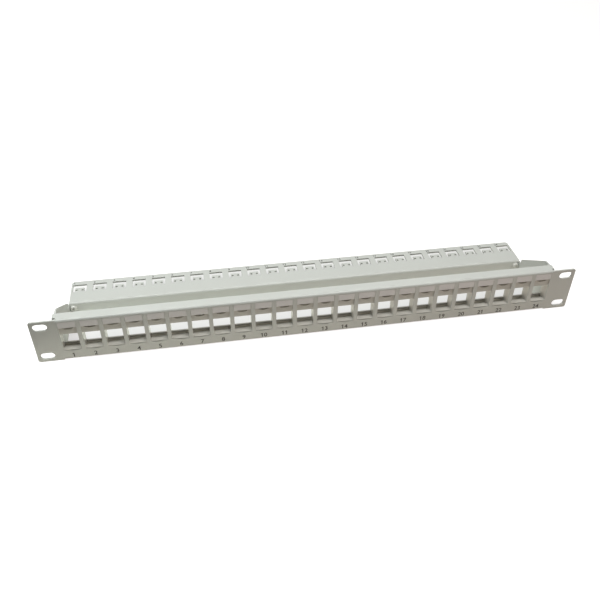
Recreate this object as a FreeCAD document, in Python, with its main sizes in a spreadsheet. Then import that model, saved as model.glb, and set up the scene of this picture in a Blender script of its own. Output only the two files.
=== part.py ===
import FreeCAD, Part
import Sketcher
import os

# An unloaded 19 inch patch panel, one rack unit high, in millimetres.
# +X runs to the right as seen from the front, +Y runs back into the rack and +Z is up.
# The origin is the centre of the four rack slots, on the rear face of the two ears.

Vector = FreeCAD.Vector
Rotation = FreeCAD.Rotation

DIMENSIONS = [
    # The folded front panel
    ("panel_width", 482.6, "over both ears, the 19 inch standard"),
    ("panel_height", 44.0, "one rack unit less the gap to the next panel"),
    ("steel", 1.5, "sheet thickness of every folded piece"),
    ("bend_outside", 2.0, "outside radius of a bend"),
    ("bend_inside", 0.5, "inside radius of a bend"),
    ("body_width", 439.0, "between the ears, where the flanges run"),
    ("flange_back", 8.3, "rear edge of both flanges"),
    ("corner_radius", 2.0, "outer corners of the ears"),
    ("slot_spacing_x", 465.1, "rack slots, centre to centre across"),
    ("slot_spacing_z", 31.75, "rack slots, centre to centre up"),
    ("slot_length", 12.0, "end to end"),
    ("slot_width", 6.8, "clears an M6 rack screw"),
    ("lug_front", 2.5, "front edge of the lugs folded from the flange ends"),
    ("lug_drop", 12.0, "height of a lug"),
    ("lug_bend", 1.0, "outside radius of their tight bend"),
    # The row of ports
    ("port_count", 24, "along the panel"),
    ("port_pitch", 18.35, "centre to centre"),
    ("cutout_width", 14.8, "width of a cut-out, a keystone jack with clearance"),
    ("cutout_top", 19.7, "upper edge, above the label plate"),
    ("cutout_sill", -11.35, "ends of the lower edge"),
    ("sill_bow", 1.1, "how far the lower edge bows down in its middle"),
    # The moulded port frames
    ("frame_count", 4, "along the panel"),
    ("frame_ports", 6, "in one frame"),
    ("frame_width", 107.9, "one frame"),
    ("frame_depth", 9.3, "from the back of the sheet"),
    ("frame_chamfer", 0.7, "clears the inside of the bends"),
    ("mouth_sill", -11.0, "lower edge of a jack's opening"),
    ("mouth_top", 5.5, "its upper edge"),
    ("mouth_depth", 8.0, "front face of the rear sill"),
    ("rear_sill", -10.5, "top of the rear sill"),
    ("sill_low", -11.05, "ends of the lower edge of the sill that shows in the cut-out"),
    ("sill_belly", 0.45, "how far that edge bows down in its middle"),
    ("sill_proud", 1.45, "how far that sill stands into the sheet"),
    ("sill_gap", 0.1, "clearance at each end of it"),
    ("lip_depth", 2.3, "front lip that a jack's hook grips"),
    ("hook_floor", -13.7, "floor of the pocket behind the lip"),
    ("latch_front", 4.0, "back of the bar that a jack's latch grips"),
    ("latch_top", 9.5, "roof of the latch pocket"),
    ("core_low", -18.9, "underside of the lower hollow"),
    ("core_low_top", -15.2, "roof of the lower hollow"),
    ("core_high", 11.0, "floor of the upper hollow"),
    ("core_high_top", 19.0, "roof of the upper hollow"),
    ("catch_front", 8.5, "catches that snap behind the flanges"),
    ("catch_rise", 0.8, "how far they stand out of the frame"),
    ("catch_half_width", 4.0, "half of one catch"),
    # The label plates
    ("plate_width", 14.5, "marking field"),
    ("plate_low", 13.1, "lower edge"),
    ("plate_high", 19.5, "upper edge"),
    ("plate_proud", 1.4, "stands out of the frame, just short of the sheet's face"),
    ("plate_clip_width", 6.0, "the tongue that holds the plate"),
    ("plate_clip_low", 15.3, "underside of the tongue"),
    ("plate_clip_high", 17.3, "top of the tongue"),
    ("plate_clip_depth", 2.8, "length of the tongue"),
    ("clip_gap", 0.1, "clearance around the tongue"),
    ("clip_slot_depth", 3.0, "slot in the frame that takes the tongue"),
    ("notch_width", 12.0, "finger notch under a label plate"),
    ("notch_top", 12.8, "its straight upper edge"),
    ("notch_height", 2.7, "of its round lower edge"),
    ("notch_depth", 1.6, "into the frame"),
    # The side arms
    ("arm_inside", 219.3, "inner face of an arm"),
    ("arm_front", 0.6, "front edge"),
    ("arm_step_back", 8.6, "where the arm rises behind the flange"),
    ("arm_step_height", 20.3, "the arm between the two flanges"),
    ("arm_shoulder", 15.5, "start of the slope"),
    ("arm_shoulder_height", 21.4, "height there"),
    ("arm_heel", 55.8, "end of the slope"),
    ("arm_heel_height", -5.5, "height there"),
    ("arm_flange_inside", 211.3, "free edge of the arm's rear flange"),
    ("arm_flange_low", -20.5, "lower edge of the rear flange"),
    ("arm_flange_top", -10.5, "upper edge of the rear flange"),
    # The cable tray
    ("tray_width", 438.0, "between the arms"),
    ("tray_front", 58.5, "front face of the tray's wall"),
    ("tray_back", 91.4, "rear edge"),
    ("tray_top", -8.0, "upper face"),
    ("tray_corner", 3.0, "rear corners"),
    ("tie_front", 75.3, "root of a tie tongue"),
    ("tie_tip", 81.2, "tip of a tie tongue"),
    ("tie_width", 8.4, "one tongue"),
    ("tie_window_width", 12.5, "U-shaped opening around a tongue"),
    ("tie_window_back", 86.0, "rear edge of that opening"),
    ("tie_hole_radius", 1.1, "holes that a cable tie passes"),
    ("tie_hole_spacing", 5.5, "between the two holes"),
    ("tie_hole_back", 77.8, "distance back of the holes"),
    # The two M3 screws that hold the tray
    ("screw_x", 215.6, "distance from the middle"),
    ("screw_z", -13.5, "height"),
    ("screw_hole_radius", 1.7, "clearance for M3"),
    ("screw_radius", 1.5, "M3"),
    ("screw_length", 7.0, "under the head"),
    ("head_radius", 2.8, "pan head"),
    ("head_height", 2.2, "pan head"),
    ("head_round", 1.2, "edge of the head"),
    ("recess_length", 3.0, "cross recess, tip to tip"),
    ("recess_width", 0.7, "one arm of the cross"),
    ("recess_depth", 1.1, "of the cross"),
    ("nut_radius", 3.15, "over the corners"),
    ("nut_height", 2.4, "M3 nut"),
    ("nut_bore", 1.55, "threaded hole"),
]

doc = FreeCAD.newDocument("patch_panel")
dims = doc.addObject("Spreadsheet::Sheet", "dims")
for row, (alias, size, note) in enumerate(DIMENSIONS, start=1):
    dims.set(f"A{row}", alias)
    dims.set(f"B{row}", str(size))
    dims.set(f"C{row}", note)
    dims.setAlias(f"B{row}", alias)
doc.recompute()

nodes = []


def number(expression):
    """The present value of an expression on the sheet."""
    return float(dims.evalExpression(str(expression)))


def new_body(label):
    body = doc.addObject("PartDesign::Body", label)
    body.Label = label
    nodes.append(body)
    return body


def new_sketch(body, name, plane, offset=None):
    """A sketch on an origin plane of its body; the offset is along the plane's normal."""
    sketch = body.newObject("Sketcher::SketchObject", name)
    support = next(f for f in body.Origin.OriginFeatures if f.Role == plane)
    sketch.AttachmentSupport = [(support, "")]
    sketch.MapMode = "FlatFace"
    if offset is not None:
        sketch.setExpression("AttachmentOffset.Base.z", offset)
    return sketch


def bind(sketch, constraint, expression):
    index = sketch.addConstraint(constraint)
    sketch.setExpression(f"Constraints[{index}]", expression)


def pin(sketch, geometry, point, across, up):
    """Ties one point of a sketch to a pair of expressions, measured from its origin."""
    bind(sketch, Sketcher.Constraint("DistanceX", -1, 1, geometry, point, number(across)), across)
    bind(sketch, Sketcher.Constraint("DistanceY", -1, 1, geometry, point, number(up)), up)


def outline(sketch, corners, bow=None):
    """A closed outline through the corners; bow makes its last side an arc that sags that far."""
    points = [Vector(number(across), number(up), 0) for across, up in corners]
    first = sketch.GeometryCount
    for start, end in zip(points, points[1:]):
        sketch.addGeometry(Part.LineSegment(start, end))
    last = sketch.GeometryCount - 1
    for index, (across, up) in enumerate(corners[:-1]):
        pin(sketch, first + index, 1, across, up)
    pin(sketch, last, 2, *corners[-1])
    for index in range(first, last):
        sketch.addConstraint(Sketcher.Constraint("Coincident", index, 2, index + 1, 1))
    if bow is None:
        closing = sketch.addGeometry(Part.LineSegment(points[-1], points[0]))
        sketch.addConstraint(Sketcher.Constraint("Coincident", last, 2, closing, 1))
        sketch.addConstraint(Sketcher.Constraint("Coincident", closing, 2, first, 1))
        return
    middle = (points[0] + points[-1]) / 2 - Vector(0, number(bow), 0)
    closing = sketch.addGeometry(Part.Arc(points[0], middle, points[-1]))
    sketch.addConstraint(Sketcher.Constraint("Coincident", closing, 1, first, 1))
    sketch.addConstraint(Sketcher.Constraint("Coincident", closing, 2, last, 2))
    chord = f"({corners[-1][0]} - ({corners[0][0]}))"
    radius = f"({chord} * {chord} / 4 + {bow} * {bow}) / (2 * {bow})"
    bind(sketch, Sketcher.Constraint("Radius", closing, number(radius)), radius)


def rectangle(sketch, left, right, low, high):
    outline(sketch, [(left, low), (left, high), (right, high), (right, low)])


def circle(sketch, across, up, radius):
    centre = Vector(number(across), number(up), 0)
    index = sketch.addGeometry(Part.Circle(centre, Vector(0, 0, 1), number(radius)))
    pin(sketch, index, 3, across, up)
    bind(sketch, Sketcher.Constraint("Radius", index, number(radius)), radius)


def obround(sketch, across, up, length, width):
    """A slot with round ends, lying along the sketch's first axis."""
    reach = f"(({length} - {width}) / 2)"
    radius = f"{width} / 2"
    half = number(radius)
    arcs = []
    for sign, start in ((-1, 0.5), (1, 1.5)):
        centre_x = f"{across} + {sign} * {reach}"
        ring = Part.Circle(Vector(number(centre_x), number(up), 0), Vector(0, 0, 1), half)
        turn = 3.141592653589793
        arc = sketch.addGeometry(Part.ArcOfCircle(ring, start * turn, (start + 1) * turn))
        pin(sketch, arc, 3, centre_x, up)
        bind(sketch, Sketcher.Constraint("Radius", arc, half), radius)
        arcs.append((arc, number(centre_x)))
    (left, left_x), (right, right_x) = arcs
    height = number(up)
    lower = sketch.addGeometry(
        Part.LineSegment(Vector(left_x, height - half, 0), Vector(right_x, height - half, 0))
    )
    upper = sketch.addGeometry(
        Part.LineSegment(Vector(right_x, height + half, 0), Vector(left_x, height + half, 0))
    )
    sketch.addConstraint(Sketcher.Constraint("Tangent", left, 2, lower, 1))
    sketch.addConstraint(Sketcher.Constraint("Tangent", lower, 2, right, 1))
    sketch.addConstraint(Sketcher.Constraint("Tangent", right, 2, upper, 1))
    sketch.addConstraint(Sketcher.Constraint("Tangent", upper, 2, left, 1))


def extrude(body, kind, name, sketch, length, symmetric=False):
    """A Pad, or a Pocket: a pad follows its sketch's normal and a pocket goes against it."""
    feature = body.newObject("PartDesign::" + kind, name)
    feature.Profile = sketch
    feature.SideType = "Symmetric" if symmetric else "One side"
    feature.setExpression("Length", str(length))
    return feature


def round_edges(body, name, radius, chosen):
    """A fillet on the straight edges of the body's last feature that the test picks."""
    doc.recompute()
    base = body.Tip
    picked = []
    for index, edge in enumerate(base.Shape.Edges, start=1):
        if edge.Curve.TypeId != "Part::GeomLine":
            continue
        if chosen(edge.CenterOfMass, edge.tangentAt(edge.FirstParameter)):
            picked.append(f"Edge{index}")
    fillet = body.newObject("PartDesign::Fillet", name)
    fillet.Base = (base, picked)
    fillet.setExpression("Radius", radius)
    return fillet


def repeat(body, name, originals, length, count):
    """Repeats features along X; the first of them has a sketch whose first axis is X."""
    pattern = body.newObject("PartDesign::LinearPattern", name)
    pattern.Originals = originals
    pattern.Direction = (originals[0].Profile[0], ["H_Axis"])
    pattern.setExpression("Length", length)
    pattern.setExpression("Occurrences", count)
    body.Tip = pattern
    return pattern


def near(first, second):
    return abs(first - second) < 0.01


FIRST_PORT = "(-dims.port_pitch * (dims.port_count - 1) / 2)"
PORT_ROW = "dims.port_pitch * (dims.port_count - 1)"


def make_front_panel():
    """Folded sheet: the face with its ears, the two flanges, four lugs and the row of cut-outs."""
    body = new_body("front_panel")
    half = "dims.panel_height / 2"
    inner = "(dims.panel_height / 2 - dims.steel)"
    side = "dims.body_width / 2"
    half_height = number(half)
    inner_height = number(inner)
    thickness = number("dims.steel")

    channel = new_sketch(body, "channel_section", "YZ_Plane")
    outline(channel, [
        ("-dims.steel", f"-{half}"),
        ("-dims.steel", half),
        ("dims.flange_back", half),
        ("dims.flange_back", inner),
        ("0", inner),
        ("0", f"-{inner}"),
        ("dims.flange_back", f"-{inner}"),
        ("dims.flange_back", f"-{half}"),
    ])
    extrude(body, "Pad", "channel", channel, "dims.body_width", symmetric=True)

    def along_x(tangent):
        return near(abs(tangent.x), 1)

    def is_outer_bend(centre, tangent):
        return along_x(tangent) and near(centre.y, -thickness) and near(abs(centre.z), half_height)

    def is_inner_bend(centre, tangent):
        return along_x(tangent) and near(centre.y, 0) and near(abs(centre.z), inner_height)

    round_edges(body, "outer_bends", "dims.bend_outside", is_outer_bend)
    round_edges(body, "inner_bends", "dims.bend_inside", is_inner_bend)

    ears = new_sketch(body, "ear_outlines", "XZ_Plane")
    rectangle(ears, side, "dims.panel_width / 2", f"-{half}", half)
    rectangle(ears, "-dims.panel_width / 2", f"-{side}", f"-{half}", half)
    extrude(body, "Pad", "ears", ears, "dims.steel")
    ear_end = number("dims.panel_width / 2")

    def is_ear_corner(centre, tangent):
        return near(abs(tangent.y), 1) and near(abs(centre.x), ear_end)

    round_edges(body, "ear_corners", "dims.corner_radius", is_ear_corner)

    slots = new_sketch(body, "rack_slot_outlines", "XZ_Plane")
    for across in (-1, 1):
        for up in (-1, 1):
            obround(
                slots,
                f"{across} * dims.slot_spacing_x / 2",
                f"{up} * dims.slot_spacing_z / 2",
                "dims.slot_length",
                "dims.slot_width",
            )
    extrude(body, "Pocket", "rack_slots", slots, "4 * dims.steel", symmetric=True)

    lugs = new_sketch(body, "lug_sections", "XZ_Plane", "-dims.flange_back")
    arm_outside = "(dims.arm_inside + dims.steel)"
    for across in (-1, 1):
        for up in (-1, 1):
            root = f"{across} * ({side} - dims.steel)"
            outer = f"{across} * ({arm_outside} + dims.steel)"
            against_arm = f"{across} * {arm_outside}"
            tip = f"{up} * ({half} - dims.lug_drop)"
            outline(lugs, [
                (root, f"{up} * {half}"),
                (outer, f"{up} * {half}"),
                (outer, tip),
                (against_arm, tip),
                (against_arm, f"{up} * {inner}"),
                (root, f"{up} * {inner}"),
            ])
    extrude(body, "Pad", "lugs", lugs, "dims.flange_back - dims.lug_front")
    lug_inside = number(arm_outside)

    def is_lug_bend(centre, tangent):
        on_fold = near(abs(centre.x), lug_inside + thickness) and near(abs(centre.z), half_height)
        return near(abs(tangent.y), 1) and on_fold

    round_edges(body, "lug_bends", "dims.lug_bend", is_lug_bend)

    cutout = new_sketch(body, "cutout_outline", "XZ_Plane")
    left = f"{FIRST_PORT} - dims.cutout_width / 2"
    right = f"{FIRST_PORT} + dims.cutout_width / 2"
    outline(cutout, [
        (left, "dims.cutout_sill"),
        (left, "dims.cutout_top"),
        (right, "dims.cutout_top"),
        (right, "dims.cutout_sill"),
    ], bow="dims.sill_bow")
    cut = extrude(body, "Pocket", "cutout", cutout, "3 * dims.steel", symmetric=True)
    repeat(body, "cutouts", [cut], PORT_ROW, "dims.port_count")


def make_port_frame(index):
    """One moulding with six jack openings, snapped in behind the face between the flanges."""
    body = new_body(f"port_frame_{index + 1}")
    top = "(dims.panel_height / 2 - dims.steel)"
    block = new_sketch(body, "block_section", "YZ_Plane")
    outline(block, [
        ("0", f"-{top} + dims.frame_chamfer"),
        ("0", f"{top} - dims.frame_chamfer"),
        ("dims.frame_chamfer", top),
        ("dims.frame_depth", top),
        ("dims.frame_depth", f"-{top}"),
        ("dims.frame_chamfer", f"-{top}"),
    ])
    extrude(body, "Pad", "block", block, "dims.frame_width", symmetric=True)

    catches = new_sketch(body, "catch_outlines", "XZ_Plane", "-dims.frame_depth")
    for across in (-2, 2):
        left = f"{across} * dims.port_pitch - dims.catch_half_width"
        right = f"{across} * dims.port_pitch + dims.catch_half_width"
        rectangle(catches, left, right, f"{top} - dims.steel", f"{top} + dims.catch_rise")
        rectangle(catches, left, right, f"-{top} - dims.catch_rise", f"-{top} + dims.steel")
    extrude(body, "Pad", "catches", catches, "dims.frame_depth - dims.catch_front")

    centre = "(-dims.port_pitch * (dims.frame_ports - 1) / 2)"
    left = f"{centre} - dims.cutout_width / 2"
    right = f"{centre} + dims.cutout_width / 2"

    sill = new_sketch(body, "sill_outline", "XZ_Plane")
    sill_left = f"{left} + dims.sill_gap"
    sill_right = f"{right} - dims.sill_gap"
    outline(sill, [
        (sill_left, "dims.sill_low"),
        (sill_left, "dims.mouth_sill"),
        (sill_right, "dims.mouth_sill"),
        (sill_right, "dims.sill_low"),
    ], bow="dims.sill_belly")
    sill_pad = extrude(body, "Pad", "sill", sill, "dims.sill_proud")

    mouth = new_sketch(body, "mouth_outline", "XZ_Plane")
    rectangle(mouth, left, right, "dims.mouth_sill", "dims.mouth_top")
    mouth_cut = extrude(body, "Pocket", "mouth", mouth, "dims.mouth_depth")

    throat = new_sketch(body, "throat_outline", "XZ_Plane")
    rectangle(throat, left, right, "dims.rear_sill", "dims.mouth_top")
    throat_cut = extrude(body, "Pocket", "throat", throat, "dims.frame_depth")

    hook = new_sketch(body, "hook_pocket_outline", "XZ_Plane", "-dims.lip_depth")
    rectangle(hook, left, right, "dims.hook_floor", "dims.rear_sill")
    hook_cut = extrude(body, "Pocket", "hook_pocket", hook, "dims.mouth_depth - dims.lip_depth")

    hollows = new_sketch(body, "rear_hollow_outlines", "XZ_Plane", "-dims.latch_front")
    rectangle(hollows, left, right, "dims.rear_sill", "dims.latch_top")
    rectangle(hollows, left, right, "dims.core_low", "dims.core_low_top")
    rectangle(hollows, left, right, "dims.core_high", "dims.core_high_top")
    hollow_depth = "dims.frame_depth - dims.latch_front"
    hollow_cut = extrude(body, "Pocket", "rear_hollows", hollows, hollow_depth)

    notch = new_sketch(body, "notch_outline", "XZ_Plane")
    notch_left = f"{centre} - dims.notch_width / 2"
    notch_right = f"{centre} + dims.notch_width / 2"
    notch_line = [(notch_left, "dims.notch_top"), (notch_right, "dims.notch_top")]
    outline(notch, notch_line, bow="dims.notch_height")
    notch_cut = extrude(body, "Pocket", "notch", notch, "dims.notch_depth")

    slot = new_sketch(body, "clip_slot_outline", "XZ_Plane")
    rectangle(
        slot,
        f"{centre} - dims.plate_clip_width / 2 - dims.clip_gap",
        f"{centre} + dims.plate_clip_width / 2 + dims.clip_gap",
        "dims.plate_clip_low - dims.clip_gap",
        "dims.plate_clip_high + dims.clip_gap",
    )
    slot_cut = extrude(body, "Pocket", "clip_slot", slot, "dims.clip_slot_depth")

    port = [sill_pad, mouth_cut, throat_cut, hook_cut, hollow_cut, notch_cut, slot_cut]
    row = "dims.port_pitch * (dims.frame_ports - 1)"
    repeat(body, "ports", port, row, "dims.frame_ports")
    place = f"({index} - (dims.frame_count - 1) / 2) * dims.frame_ports * dims.port_pitch"
    body.setExpression("Placement.Base.x", place)


def make_label_plate(index):
    """The marking plate above one port, held by a tongue in its frame."""
    body = new_body(f"label_plate_{index + 1:02d}")
    field = new_sketch(body, "field_outline", "XZ_Plane")
    rectangle(
        field,
        "-dims.plate_width / 2",
        "dims.plate_width / 2",
        "dims.plate_low",
        "dims.plate_high",
    )
    extrude(body, "Pad", "field", field, "dims.plate_proud")
    tongue = new_sketch(body, "tongue_outline", "XZ_Plane", "-dims.plate_clip_depth")
    rectangle(
        tongue,
        "-dims.plate_clip_width / 2",
        "dims.plate_clip_width / 2",
        "dims.plate_clip_low",
        "dims.plate_clip_high",
    )
    extrude(body, "Pad", "tongue", tongue, "dims.plate_clip_depth + dims.plate_proud / 2")
    body.setExpression("Placement.Base.x", f"{FIRST_PORT} + {index} * dims.port_pitch")


def make_arms():
    """The two side arms, folded from sheet: a sloping web and a flange behind the tray's wall."""
    body = new_body("right_arm")
    foot = "-dims.panel_height / 2"
    back_face = "(dims.tray_front + 2 * dims.steel)"
    web = new_sketch(body, "web_outline", "YZ_Plane", "dims.arm_inside")
    outline(web, [
        ("dims.arm_front", "-dims.arm_step_height"),
        ("dims.arm_front", "dims.arm_step_height"),
        ("dims.arm_step_back", "dims.arm_step_height"),
        ("dims.arm_step_back", "dims.panel_height / 2"),
        ("dims.arm_shoulder", "dims.arm_shoulder_height"),
        ("dims.arm_heel", "dims.arm_heel_height"),
        ("dims.arm_heel", "dims.arm_flange_top"),
        (back_face, "dims.arm_flange_top"),
        (back_face, foot),
        ("dims.arm_step_back", foot),
        ("dims.arm_step_back", "-dims.arm_step_height"),
    ])
    extrude(body, "Pad", "web", web, "dims.steel")

    flange = new_sketch(body, "flange_outline", "XZ_Plane", f"-{back_face}")
    rectangle(
        flange,
        "dims.arm_flange_inside",
        "dims.arm_inside + dims.steel / 2",
        "dims.arm_flange_low",
        "dims.arm_flange_top",
    )
    extrude(body, "Pad", "flange", flange, "dims.steel")
    outside = number("dims.arm_inside + dims.steel")
    back = number(back_face)

    def is_arm_bend(centre, tangent):
        return near(abs(tangent.z), 1) and near(centre.x, outside) and near(centre.y, back)

    round_edges(body, "arm_bend", "dims.bend_outside", is_arm_bend)

    hole = new_sketch(body, "screw_hole_outline", "XZ_Plane", f"-{back_face}")
    circle(hole, "dims.screw_x", "dims.screw_z", "dims.screw_hole_radius")
    extrude(body, "Pocket", "screw_hole", hole, "4 * dims.steel", symmetric=True)

    left = doc.addObject("Part::Mirroring", "left_arm")
    left.Label = "left_arm"
    left.Source = body
    left.Normal = (1, 0, 0)
    nodes.append(left)


def make_cable_tray():
    """Folded sheet: a wall between the arms and a shelf with one tie tongue behind each port."""
    body = new_body("cable_tray")
    under = "(dims.tray_top - dims.steel)"
    wall_back = "(dims.tray_front + dims.steel)"
    foot = "-dims.panel_height / 2"
    section = new_sketch(body, "tray_section", "YZ_Plane")
    outline(section, [
        ("dims.tray_front", foot),
        ("dims.tray_front", "dims.tray_top"),
        ("dims.tray_back", "dims.tray_top"),
        ("dims.tray_back", under),
        (wall_back, under),
        (wall_back, foot),
    ])
    extrude(body, "Pad", "shelf_and_wall", section, "dims.tray_width", symmetric=True)
    front = number("dims.tray_front")
    inner_front = number(wall_back)
    top = number("dims.tray_top")
    bottom = number(under)
    side = number("dims.tray_width / 2")
    back = number("dims.tray_back")

    def is_outer_bend(centre, tangent):
        return near(abs(tangent.x), 1) and near(centre.y, front) and near(centre.z, top)

    def is_inner_bend(centre, tangent):
        return near(abs(tangent.x), 1) and near(centre.y, inner_front) and near(centre.z, bottom)

    def is_rear_corner(centre, tangent):
        return near(abs(tangent.z), 1) and near(abs(centre.x), side) and near(centre.y, back)

    round_edges(body, "outer_bend", "dims.bend_outside", is_outer_bend)
    round_edges(body, "inner_bend", "dims.bend_inside", is_inner_bend)
    round_edges(body, "rear_corners", "dims.tray_corner", is_rear_corner)

    holes = new_sketch(body, "screw_hole_outlines", "XZ_Plane", "-dims.tray_front")
    for across in (-1, 1):
        circle(holes, f"{across} * dims.screw_x", "dims.screw_z", "dims.screw_hole_radius")
    extrude(body, "Pocket", "screw_holes", holes, "4 * dims.steel", symmetric=True)

    window = new_sketch(body, "tie_window_outline", "XY_Plane", "dims.tray_top")
    outer_left = f"{FIRST_PORT} - dims.tie_window_width / 2"
    outer_right = f"{FIRST_PORT} + dims.tie_window_width / 2"
    inner_left = f"{FIRST_PORT} - dims.tie_width / 2"
    inner_right = f"{FIRST_PORT} + dims.tie_width / 2"
    outline(window, [
        (outer_left, "dims.tie_front"),
        (outer_left, "dims.tie_window_back"),
        (outer_right, "dims.tie_window_back"),
        (outer_right, "dims.tie_front"),
        (inner_right, "dims.tie_front"),
        (inner_right, "dims.tie_tip"),
        (inner_left, "dims.tie_tip"),
        (inner_left, "dims.tie_front"),
    ])
    for across in (-1, 1):
        centre = f"{FIRST_PORT} + {across} * dims.tie_hole_spacing / 2"
        circle(window, centre, "dims.tie_hole_back", "dims.tie_hole_radius")
    tie_cut = extrude(body, "Pocket", "tie_point", window, "4 * dims.steel", symmetric=True)
    repeat(body, "tie_points", [tie_cut], PORT_ROW, "dims.port_count")


def primitive(kind, name, sizes, place, turn=0):
    """A Part primitive with its sizes and its place bound to the sheet, turned about X."""
    shape = doc.addObject("Part::" + kind, name)
    for key, expression in sizes.items():
        shape.setExpression(key, expression)
    shape.Placement = FreeCAD.Placement(Vector(0, 0, 0), Rotation(Vector(1, 0, 0), turn))
    for axis, expression in zip("xyz", place):
        shape.setExpression("Placement.Base." + axis, expression)
    return shape


def make_screw(name, across):
    """An M3 pan head screw, its head to the front, with a cross recess."""
    place_x = f"{across} * dims.screw_x"
    seat = "dims.tray_front"
    place = (place_x, seat, "dims.screw_z")
    head_sizes = {"Radius": "dims.head_radius", "Height": "dims.head_height"}
    head = primitive("Cylinder", name + "_head", head_sizes, place, turn=90)
    doc.recompute()
    rounded = doc.addObject("Part::Fillet", name + "_rounded_head")
    rounded.Base = head
    rim_y = number(f"{seat} - dims.head_height")
    radius = number("dims.head_round")
    rims = [
        (index, radius, radius)
        for index, edge in enumerate(head.Shape.Edges, start=1)
        if edge.Closed and near(edge.CenterOfMass.y, rim_y)
    ]
    rounded.Edges = rims
    shank_sizes = {"Radius": "dims.screw_radius", "Height": "dims.screw_length"}
    shank = primitive("Cylinder", name + "_shank", shank_sizes, place, turn=-90)
    solid = doc.addObject("Part::Fuse", name + "_blank")
    solid.Base = rounded
    solid.Tool = shank
    front = f"{seat} - dims.head_height"
    long_side = "dims.recess_length"
    short_side = "dims.recess_width"
    recess = doc.addObject("Part::MultiFuse", name + "_recess")
    recess.Shapes = [
        primitive(
            "Box",
            f"{name}_recess_{kind}",
            {"Length": wide, "Width": "2 * dims.recess_depth", "Height": tall},
            (
                f"{place_x} - {wide} / 2",
                f"{front} - dims.recess_depth",
                f"dims.screw_z - {tall} / 2",
            ),
        )
        for kind, wide, tall in (("across", long_side, short_side), ("up", short_side, long_side))
    ]
    screw = doc.addObject("Part::Cut", name)
    screw.Base = solid
    screw.Tool = recess
    return screw


def make_nut(name, across):
    seat = "dims.tray_front + 2 * dims.steel"
    place = (f"{across} * dims.screw_x", seat, "dims.screw_z")
    block = primitive(
        "Prism",
        name + "_block",
        {"Circumradius": "dims.nut_radius", "Height": "dims.nut_height"},
        place,
        turn=-90,
    )
    block.Polygon = 6
    bore_sizes = {"Radius": "dims.nut_bore", "Height": "dims.nut_height"}
    bore = primitive("Cylinder", name + "_bore", bore_sizes, place, turn=-90)
    nut = doc.addObject("Part::Cut", name)
    nut.Base = block
    nut.Tool = bore
    return nut


def make_pair(label, maker):
    """Two identical fasteners, left and right, that share one node."""
    pair = doc.addObject("Part::Compound", label)
    pair.Label = label
    singular = label.rstrip("s")
    pair.Links = [maker(f"{singular}_left", -1), maker(f"{singular}_right", 1)]
    nodes.append(pair)


make_front_panel()
for frame_index in range(int(number("dims.frame_count"))):
    make_port_frame(frame_index)
for plate_index in range(int(number("dims.port_count"))):
    make_label_plate(plate_index)
make_arms()
make_cable_tray()
make_pair("tray_screws", make_screw)
make_pair("tray_nuts", make_nut)

doc.recompute()
for item in doc.Objects:
    if "Invalid" in item.State or "Error" in item.State:
        raise RuntimeError(f"{item.Label} did not recompute: {item.State}")
for node in nodes:
    if node.Shape.isNull() or not node.Shape.isValid():
        raise RuntimeError(f"{node.Label} has no valid shape")

os.makedirs("parts", exist_ok=True)
for node in nodes:
    node.Shape.exportStep(f"parts/{node.Label}.step")
    print(f"{node.Label}: {len(node.Shape.Solids)} solid(s), {node.Shape.Volume:.1f} mm3")
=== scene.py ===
import math

import bmesh
import bpy
from mathutils import Matrix, Vector


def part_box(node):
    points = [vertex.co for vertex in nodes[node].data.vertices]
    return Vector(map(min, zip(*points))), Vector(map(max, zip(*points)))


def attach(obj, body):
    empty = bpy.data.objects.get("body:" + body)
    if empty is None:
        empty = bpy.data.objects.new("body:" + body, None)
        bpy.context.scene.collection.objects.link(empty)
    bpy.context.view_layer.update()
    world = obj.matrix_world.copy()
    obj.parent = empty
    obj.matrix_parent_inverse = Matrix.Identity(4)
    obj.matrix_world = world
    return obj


# A 19 inch patch panel with twenty-four empty ports. Every piece is in metres in the CAD frame:
# +X to the right, +Y back into the rack, +Z up, with the rack slots' centre at the origin.

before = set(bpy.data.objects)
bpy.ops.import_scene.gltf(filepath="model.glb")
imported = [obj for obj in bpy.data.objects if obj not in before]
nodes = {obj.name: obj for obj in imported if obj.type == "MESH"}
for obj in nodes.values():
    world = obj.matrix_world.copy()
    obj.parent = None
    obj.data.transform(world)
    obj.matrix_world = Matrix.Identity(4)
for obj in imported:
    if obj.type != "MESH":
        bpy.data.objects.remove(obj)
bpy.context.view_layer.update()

PORTS = 24
PORT_FRAMES = 4
LABELS = [f"label_plate_{index + 1:02d}" for index in range(PORTS)]
FRAMES = [f"port_frame_{index + 1}" for index in range(PORT_FRAMES)]
STEEL_NODES = ["front_panel", "left_arm", "right_arm", "cable_tray"]
FASTENERS = ["tray_screws", "tray_nuts"]

# The panel stands on the floor, and the numbers are printed on its face and on the tray's top.
panel_low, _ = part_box("front_panel")
_, tray_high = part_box("cable_tray")
FLOOR = panel_low.z
FACE = panel_low.y
TRAY_TOP = tray_high.z


def port_x(index):
    """The middle of a port, taken from the label plate above it."""
    low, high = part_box(LABELS[index])
    return (low.x + high.x) / 2


def add_to_scene(name, data):
    thing = bpy.data.objects.new(name, data)
    bpy.context.scene.collection.objects.link(thing)
    return thing


def mesh_from(shape, name, material):
    """A mesh with one material, made from a bmesh that is freed."""
    mesh = bpy.data.meshes.new(name)
    shape.to_mesh(mesh)
    shape.free()
    mesh.materials.append(material)
    return mesh


# Camera

CAMERA_PLACE = (-0.0920, -0.4600, 0.3935)
CAMERA_AIM = (-0.0102, 0.0207, 0.0)
CAMERA_ROLL = math.radians(0.39)
LENS = 41.37
SENSOR_WIDTH = 36.0
CLIP_START = 0.01


def turned_towards(place, aim):
    """Where a camera or lamp stands, and its turn towards its aim."""
    turn = (Vector(aim) - Vector(place)).to_track_quat("-Z", "Y").to_matrix().to_4x4()
    return Matrix.Translation(place) @ turn


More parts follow.
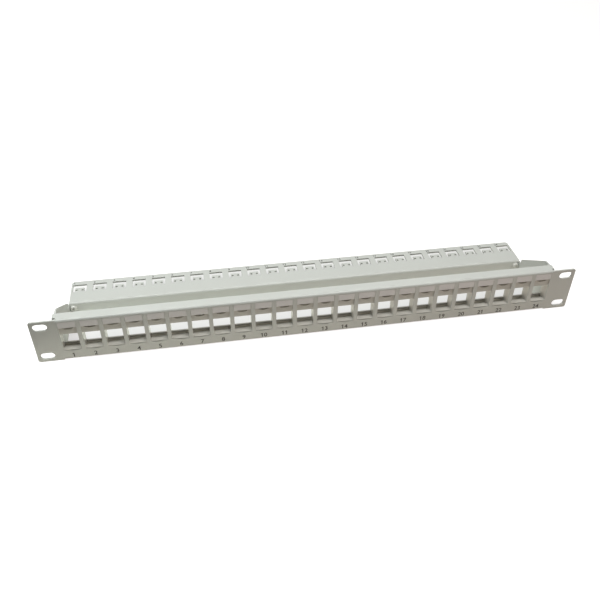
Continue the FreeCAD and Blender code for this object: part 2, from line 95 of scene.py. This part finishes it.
def make_camera():
    data = bpy.data.cameras.new("camera")
    data.lens = LENS
    data.sensor_width = SENSOR_WIDTH
    data.clip_start = CLIP_START
    camera = add_to_scene("camera", data)
    camera.matrix_world = turned_towards(CAMERA_PLACE, CAMERA_AIM) @ Matrix.Rotation(CAMERA_ROLL, 4, "Z")
    bpy.context.scene.camera = camera


# Light: four soft lamps overhead, and a very weak glow from everywhere

LAMPS = [
    dict(name="back", place=(0.0, 0.5, 1.0), aim=(0.0, 0.04, 0.0), size=(1.0, 0.4), watts=4.0,
         colour=(1.0, 1.0, 0.965)),
    dict(name="top", place=(0.18, -0.22, 1.1), aim=(0.04, 0.0, 0.0), size=(0.6, 0.2), watts=4.1,
         colour=(1.0, 0.985, 0.95)),
    dict(name="left", place=(-0.5, -0.02, 0.8), aim=(-0.2, 0.0, 0.0), size=(0.4, 0.3), watts=3.9,
         colour=(0.93, 1.0, 0.98)),
    dict(name="right", place=(0.6, -0.45, 0.9), aim=(0.0, 0.0, 0.0), size=(0.5, 0.4), watts=2.1,
         colour=(1.0, 0.95, 0.91)),
]
WORLD_COLOUR = (1.0, 1.0, 0.985, 1.0)
WORLD_STRENGTH = 0.01


def make_lamp(name, place, aim, size, watts, colour):
    data = bpy.data.lights.new(name, "AREA")
    data.shape = "RECTANGLE"
    data.size, data.size_y = size
    data.energy = watts
    data.color = colour
    lamp = add_to_scene(name, data)
    lamp.visible_camera = False
    lamp.matrix_world = turned_towards(place, aim)


def make_light():
    world = bpy.data.worlds.new("studio")
    bpy.context.scene.world = world
    world.use_nodes = True
    background = world.node_tree.nodes["Background"]
    background.inputs["Color"].default_value = WORLD_COLOUR
    background.inputs["Strength"].default_value = WORLD_STRENGTH
    for lamp in LAMPS:
        make_lamp(**lamp)
    bpy.context.scene.view_settings.view_transform = "Standard"


# Materials

class Shading:
    """A new material with its shader, and short calls that add and link nodes."""

    def __init__(self, name):
        self.material = bpy.data.materials.new(name)
        self.material.use_nodes = True
        self.tree = self.material.node_tree
        self.shader = self.tree.nodes["Principled BSDF"]
        coordinates = self.add("ShaderNodeTexCoord")
        self.place = coordinates.outputs["Object"]
        self.facing = coordinates.outputs["Normal"]

    def add(self, kind, **settings):
        node = self.tree.nodes.new(kind)
        for key, setting in settings.items():
            setattr(node, key, setting)
        return node

    def feed(self, socket, entry):
        """Gives a socket another node's output, a colour or a number."""
        if isinstance(entry, bpy.types.NodeSocket):
            self.tree.links.new(entry, socket)
        elif isinstance(entry, tuple):
            socket.default_value = (*entry, 1.0)
        else:
            socket.default_value = entry

    def shade(self, name, entry):
        self.feed(self.shader.inputs[name], entry)

    def axis(self, name, source=None):
        """One axis of a vector, or of the place on the object where no vector is given."""
        node = self.add("ShaderNodeSeparateXYZ")
        self.feed(node.inputs["Vector"], source or self.place)
        return node.outputs[name]

    def combine(self, operation, *sources):
        """Adds or multiplies two or more sources, or takes the largest."""
        result = sources[0]
        for source in sources[1:]:
            node = self.add("ShaderNodeMath", operation=operation)
            self.feed(node.inputs[0], result)
            self.feed(node.inputs[1], source)
            result = node.outputs["Value"]
        return result

    def reach(self):
        """How far a place lies from the origin, along X or Y, whichever is more."""
        node = self.add("ShaderNodeVectorMath", operation="ABSOLUTE")
        self.feed(node.inputs[0], self.place)
        away = node.outputs["Vector"]
        return self.combine("MAXIMUM", self.axis("X", away), self.axis("Y", away))

    def noise(self, scale, detail=2.0):
        node = self.add("ShaderNodeTexNoise")
        self.feed(node.inputs["Scale"], scale)
        self.feed(node.inputs["Detail"], detail)
        self.feed(node.inputs["Vector"], self.place)
        return node.outputs["Fac"]

    def two_tone(self, source, dark, light, start=0.3, end=0.7):
        """Runs from a dark to a light colour while the source runs from start to end."""
        node = self.add("ShaderNodeValToRGB")
        for stop, at, colour in zip(node.color_ramp.elements, (start, end), (dark, light)):
            stop.position = at
            stop.color = (*colour, 1.0)
        self.feed(node.inputs["Fac"], source)
        return node.outputs["Color"]

    def span(self, source, low, high, start=0.3, end=0.7):
        """Runs smoothly from low to high while the source runs from start to end."""
        node = self.add("ShaderNodeMapRange", interpolation_type="SMOOTHSTEP")
        self.feed(node.inputs["From Min"], start)
        self.feed(node.inputs["From Max"], end)
        self.feed(node.inputs["To Min"], low)
        self.feed(node.inputs["To Max"], high)
        self.feed(node.inputs["Value"], source)
        return node.outputs["Result"]

    def fade(self, source, stretch):
        """Runs from 0 at the first end of a stretch to 1 at the other."""
        start, end = stretch
        return self.span(source, 0.0, 1.0, start, end)

    def mix(self, factor, first, second, blend="MIX"):
        """Mixes two colours or colour outputs; the factor is a number or an output."""
        node = self.add("ShaderNodeMix", data_type="RGBA", blend_type=blend)
        sockets = [socket for socket in node.inputs if socket.enabled]
        for socket, entry in zip(sockets, (factor, first, second)):
            self.feed(socket, entry)
        return next(socket for socket in node.outputs if socket.enabled)

    def bump(self, *layers):
        """Stacks bumps: each layer is a height source, its strength and its depth in metres."""
        normal = None
        for source, strength, depth in layers:
            node = self.add("ShaderNodeBump")
            self.feed(node.inputs["Strength"], strength)
            self.feed(node.inputs["Distance"], depth)
            self.feed(node.inputs["Height"], source)
            if normal is not None:
                self.feed(node.inputs["Normal"], normal)
            normal = node.outputs["Normal"]
        self.shade("Normal", normal)


def make_powder_coat():
    """Light grey powder coat: a fine orange peel over sheet steel."""
    coat = Shading("powder_coat")
    cloud = coat.noise(scale=18.0, detail=3.0)
    speck = coat.noise(scale=5200.0, detail=1.0)
    base = coat.two_tone(cloud, dark=(0.655, 0.668, 0.640), light=(0.680, 0.693, 0.665))
    grain = coat.two_tone(speck, dark=(0.95, 0.95, 0.95), light=(1.0, 1.0, 1.0), start=0.30, end=0.62)
    coat.shade("Base Color", coat.mix(1.0, base, grain, blend="MULTIPLY"))
    coat.shade("Roughness", coat.span(coat.noise(scale=900.0), low=0.34, high=0.46))
    coat.shade("Specular IOR Level", 0.45)
    peel = coat.noise(scale=1400.0, detail=1.0)
    coat.bump((peel, 0.18, 0.0004), (speck, 0.12, 0.0001))
    return coat.material


# The port frames get little of the studio's light, so two of their surfaces carry painted light
# and shade: the wall behind each opening has painted shade, dark at its top, and painted light,
# pale at its foot, and the faces that turn to the left have painted light, pale above their foot.
# Each pair is the stretch over which a tone sets in: of the surface's direction, where -1 is
# straight to the left or to the front, of the depth, and of the height.
FACING_MINUS = (-0.5, -0.9)
BEHIND_OPENING = (0.005, 0.006)
SHADED_WALL_FOOT = (-0.0113, -0.0130)
ABOVE_SIDE_WALL_FOOT = (-0.0125, -0.0065)


def make_frame_plastic():
    """Moulded grey plastic, satin, with a fine grain, and painted light and shade on two of its
    surfaces.
    """
    plastic = Shading("frame_plastic")
    cloud = plastic.noise(scale=40.0, detail=3.0)
    base = plastic.two_tone(cloud, dark=(0.640, 0.627, 0.583), light=(0.670, 0.657, 0.613))
    height = plastic.axis("Z")
    depth = plastic.axis("Y")
    # Painted light: the faces that turn to the left are paler above their foot.
    faces_left = plastic.fade(plastic.axis("X", plastic.facing), FACING_MINUS)
    painted_light_on_left_faces = plastic.combine("MULTIPLY", faces_left, plastic.fade(height, ABOVE_SIDE_WALL_FOOT))
    base_and_painted_light = plastic.mix(painted_light_on_left_faces, base, (0.88, 0.855, 0.805))
    # Painted shade and painted light: the wall behind each opening is darker at its top and paler at its
    # foot.
    faces_front = plastic.fade(plastic.axis("Y", plastic.facing), FACING_MINUS)
    painted_shade_wall_mask = plastic.combine("MULTIPLY", faces_front, plastic.fade(depth, BEHIND_OPENING))
    foot = plastic.fade(height, SHADED_WALL_FOOT)
    painted_shade_and_light_tone = plastic.mix(foot, (0.47, 0.455, 0.425), (0.82, 0.785, 0.71))
    plastic.shade("Base Color", plastic.mix(painted_shade_wall_mask, base_and_painted_light, painted_shade_and_light_tone))
    plastic.shade("Roughness", plastic.span(plastic.noise(scale=1500.0), low=0.08, high=0.14))
    plastic.bump((plastic.noise(scale=4000.0), 0.05, 0.00005))
    return plastic.material


def make_label_plastic():
    """Pale grey plastic of the marking plates, with a faint grain."""
    label = Shading("label_plastic")
    cloud = label.noise(scale=60.0, detail=3.0)
    base = label.two_tone(cloud, dark=(0.800, 0.785, 0.785), light=(0.830, 0.815, 0.815))
    label.shade("Base Color", base)
    label.shade("Roughness", label.span(label.noise(scale=1200.0), low=0.34, high=0.44))
    label.bump((label.noise(scale=2600.0, detail=1.0), 0.08, 0.0001))
    return label.material


def make_zinc():
    """Zinc plate, dulled, with faint blotches."""
    zinc = Shading("zinc_steel")
    blotch = zinc.noise(scale=700.0, detail=3.0)
    base = zinc.two_tone(blotch, dark=(0.74, 0.74, 0.71), light=(0.82, 0.82, 0.79))
    zinc.shade("Base Color", base)
    zinc.shade("Metallic", 0.5)
    zinc.shade("Roughness", zinc.span(zinc.noise(scale=2500.0), low=0.60, high=0.72))
    zinc.bump((zinc.noise(scale=3000.0), 0.1, 0.0001))
    return zinc.material


def make_print_ink():
    """Dark grey screen print, a little uneven in its cover."""
    ink = Shading("print_ink")
    cover = ink.noise(scale=2200.0, detail=3.0)
    dark, light = (0.045, 0.045, 0.042), (0.085, 0.085, 0.078)
    ink.shade("Base Color", ink.two_tone(cover, dark, light, start=0.35, end=0.75))
    ink.shade("Roughness", ink.span(ink.noise(scale=1800.0), low=0.45, high=0.6))
    return ink.material


# Floor, backdrop and table: the table lies one layer under the panel and the floor two, so that no
# two of their faces are at one height.

FLOOR_HALF = 6.0
TABLE_HALF = 1.2
BACKDROP_RADIUS = 5.5
LAYER = 0.0001

# The floor glows, so that it is pure white around the panel. It glows less under the panel and its
# tray, which leaves a painted shadow there, and a little more behind port 1, next to the left arm,
# which is painted light; it glows more again far away. Each pair is the stretch over which the
# glow changes, and the first four end where the floor is white.
WHITE_LEFT = (-0.2215, -0.2245)
WHITE_RIGHT = (0.226, 0.230)
WHITE_FRONT = (0.009, 0.001)
WHITE_BACK = (0.104, 0.110)
CORNER = (-0.215, -0.190)
FAR = (0.4, 2.0)
PAINTED_SHADOW_GLOW = 0.29
WHITE_GLOW = 0.8
PAINTED_LIGHT_CORNER_GLOW = 0.15
FAR_GLOW = 0.25

# The table's tone runs from left to right, and changes beside the panel, in front of it and under it.
TABLE_ACROSS = (-0.3, 0.3)
TABLE_BESIDE = (-0.30, -0.235)
TABLE_FRONT = (-0.10, -0.04)
TABLE_UNDER = (0.0, 0.014)


def make_floor_material():
    """White paper with the glow that holds it white, with a painted shadow and a painted light in it."""
    paper = Shading("floor")
    cloud = paper.noise(scale=3.0)
    dark, light = (0.60, 0.60, 0.595), (0.62, 0.62, 0.615)
    paper.shade("Base Color", paper.two_tone(cloud, dark, light, start=0.0, end=1.0))
    paper.shade("Roughness", 0.9)
    paper.shade("Specular IOR Level", 0.1)
    paper.shade("Emission Color", (1.0, 0.98, 0.975))
    across = paper.axis("X")
    back = paper.axis("Y")
    sides = paper.combine("MAXIMUM", paper.fade(across, WHITE_LEFT), paper.fade(across, WHITE_RIGHT))
    ends = paper.combine("MAXIMUM", paper.fade(back, WHITE_FRONT), paper.fade(back, WHITE_BACK))
    around = paper.combine("MAXIMUM", sides, ends)
    # Painted shadow: the glow is lower under the panel and its tray.
    glow = paper.span(around, PAINTED_SHADOW_GLOW, WHITE_GLOW, start=0.0, end=1.0)
    # Painted light: more glow behind port 1, next to the left arm.
    corner_painted_light = paper.span(across, PAINTED_LIGHT_CORNER_GLOW, 0.0, *CORNER)
    far = paper.span(paper.reach(), 0.0, FAR_GLOW, *FAR)
    paper.shade("Emission Strength", paper.combine("ADD", glow, far, corner_painted_light))
    return paper.material


def make_backdrop_material():
    """White paper that is bright by itself and lights nothing."""
    paper = Shading("backdrop")
    paper.shade("Base Color", (0.0, 0.0, 0.0))
    paper.shade("Specular IOR Level", 0.0)
    cloud = paper.noise(scale=0.5)
    dark, light = (0.995, 0.995, 0.99), (1.0, 1.0, 1.0)
    paper.shade("Emission Color", paper.two_tone(cloud, dark, light, start=0.0, end=1.0))
    paper.shade("Emission Strength", 1.0)
    paper.material.cycles.emission_sampling = "NONE"
    return paper.material


def make_table_material():
    """Warm white table top, brightest right in front of the panel and under it."""
    top = Shading("table")
    left_to_right = top.axis("X")
    front_to_back = top.axis("Y")
    across = top.fade(left_to_right, TABLE_ACROSS)
    close = top.mix(across, (0.98, 0.93, 0.835), (0.82, 0.735, 0.66))
    near = top.mix(top.fade(left_to_right, TABLE_BESIDE), (0.22, 0.21, 0.19), close)
    far = top.mix(across, (0.02, 0.02, 0.018), (0.60, 0.51, 0.46))
    in_front = top.mix(top.fade(front_to_back, TABLE_FRONT), far, near)
    covered = top.mix(across, (0.92, 0.945, 0.87), (0.78, 0.74, 0.67))
    top.shade("Base Color", top.mix(top.fade(front_to_back, TABLE_UNDER), in_front, covered))
    top.shade("Roughness", 0.9)
    top.shade("Specular IOR Level", 0.1)
    return top.material


def make_stage_plane(name, half, height, material):
    grid = bmesh.new()
    bmesh.ops.create_grid(grid, x_segments=1, y_segments=1, size=half)
    plane = add_to_scene(name, mesh_from(grid, name, material))
    plane.location.z = height
    return plane


def make_floor():
    """The white floor that the camera sees; the table returns the light in its place."""
    floor = make_stage_plane("floor", FLOOR_HALF, FLOOR - 2 * LAYER, make_floor_material())
    floor.visible_diffuse = False
    floor.visible_glossy = False


def make_backdrop():
    """A white dome around everything, which only the camera sees."""
    ball = bmesh.new()
    bmesh.ops.create_uvsphere(ball, u_segments=48, v_segments=24, radius=BACKDROP_RADIUS)
    backdrop = add_to_scene("backdrop", mesh_from(ball, "backdrop", make_backdrop_material()))
    backdrop.visible_diffuse = False
    backdrop.visible_glossy = False
    backdrop.visible_shadow = False


def make_table():
    """A table that the camera doesn't see: it returns the lamps' light up to the panel."""
    table = make_stage_plane("table", TABLE_HALF, FLOOR - LAYER, make_table_material())
    table.visible_camera = False
    table.visible_shadow = False


# The CAD nodes' materials, and their edges, softly rounded with a modifier

STEEL_EDGE = 0.00022
FRAME_EDGE = 0.00018
LABEL_EDGE = 0.00022
FASTENER_EDGE = 0.00015
EDGE_SEGMENTS = 2
SHARP_ANGLE = math.radians(40.0)


def dress(names, material, edge):
    """Gives CAD nodes a material, and rounds their sharp edges by a width."""
    for name in names:
        node = nodes[name]
        node.data.materials.clear()
        node.data.materials.append(material)
        bevel = node.modifiers.new("edges", "BEVEL")
        bevel.width = edge
        bevel.segments = EDGE_SEGMENTS
        bevel.limit_method = "ANGLE"
        bevel.angle_limit = SHARP_ANGLE
        bevel.harden_normals = True


# Printed numbers

PORT_DIGIT_HEIGHT = 0.0044
PORT_DIGIT_CENTRE = -0.0175
TRAY_DIGIT_HEIGHT = 0.0026
TRAY_DIGIT_OFFSET = -0.0052
TRAY_DIGIT_BACK = 0.0884
PRINT_LIFT = 0.00002

# How finely each curve of the font's outline is cut
CURVE_STEPS = 4

# In units of the font's size: how much bolder the digits are than the font, the advance of one
# digit, the left side of the stem of a 1, and the slanted flag that is added there.
PORT_BOLD = 0.013
TRAY_BOLD = 0.010
DIGIT_ADVANCE = 0.5
STEM_LEFT = 0.202
FLAG = [(0.0, 0.68), (-0.14, 0.58), (-0.14, 0.465), (0.0, 0.535)]


def number_mesh(text, height, bold):
    """A flat mesh of a number, centred on the origin of its own XY plane."""
    curve = bpy.data.curves.new("number", "FONT")
    curve.body = text
    curve.resolution_u = CURVE_STEPS
    curve.offset = bold
    holder = bpy.data.objects.new("number", curve)
    mesh = bpy.data.meshes.new_from_object(holder)
    bpy.data.objects.remove(holder)
    bpy.data.curves.remove(curve)
    across = [vertex.co.x for vertex in mesh.vertices]
    up = [vertex.co.y for vertex in mesh.vertices]
    middle = Vector(((min(across) + max(across)) / 2, (min(up) + max(up)) / 2, 0.0))
    scale = height / (max(up) - min(up))
    shape = bmesh.new()
    shape.from_mesh(mesh)
    for index, digit in enumerate(text):
        if digit == "1":
            stem = index * DIGIT_ADVANCE + STEM_LEFT - bold
            shape.faces.new([shape.verts.new((stem + x, y, 0.0)) for x, y in FLAG])
    shape.to_mesh(mesh)
    shape.free()
    mesh.transform(Matrix.Scale(scale, 4) @ Matrix.Translation(-middle))
    return mesh


def make_numbers(name, ink, height, bold, place):
    """One printed piece with the numbers of all ports; place gives the matrix of each of them."""
    joined = bmesh.new()
    for index in range(PORTS):
        mesh = number_mesh(str(index + 1), height, bold)
        mesh.transform(place(index))
        joined.from_mesh(mesh)
        bpy.data.meshes.remove(mesh)
    piece = add_to_scene(name, mesh_from(joined, name, ink))
    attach(piece, "root")


def on_face(index):
    """Upright on the face, below a port."""
    upright = Matrix.Rotation(math.radians(90.0), 4, "X")
    return Matrix.Translation((port_x(index), FACE - PRINT_LIFT, PORT_DIGIT_CENTRE)) @ upright


def on_tray(index):
    """Flat on the tray's shelf, near its rear edge and left of a port's middle."""
    across = port_x(index) + TRAY_DIGIT_OFFSET
    return Matrix.Translation((across, TRAY_DIGIT_BACK, TRAY_TOP + PRINT_LIFT))


make_camera()
make_light()
make_floor()
make_backdrop()
make_table()
dress(STEEL_NODES, make_powder_coat(), STEEL_EDGE)
dress(FRAMES, make_frame_plastic(), FRAME_EDGE)
dress(LABELS, make_label_plastic(), LABEL_EDGE)
dress(FASTENERS, make_zinc(), FASTENER_EDGE)
print_ink = make_print_ink()
make_numbers("port_numbers", print_ink, PORT_DIGIT_HEIGHT, PORT_BOLD, on_face)
make_numbers("tray_numbers", print_ink, TRAY_DIGIT_HEIGHT, TRAY_BOLD, on_tray)
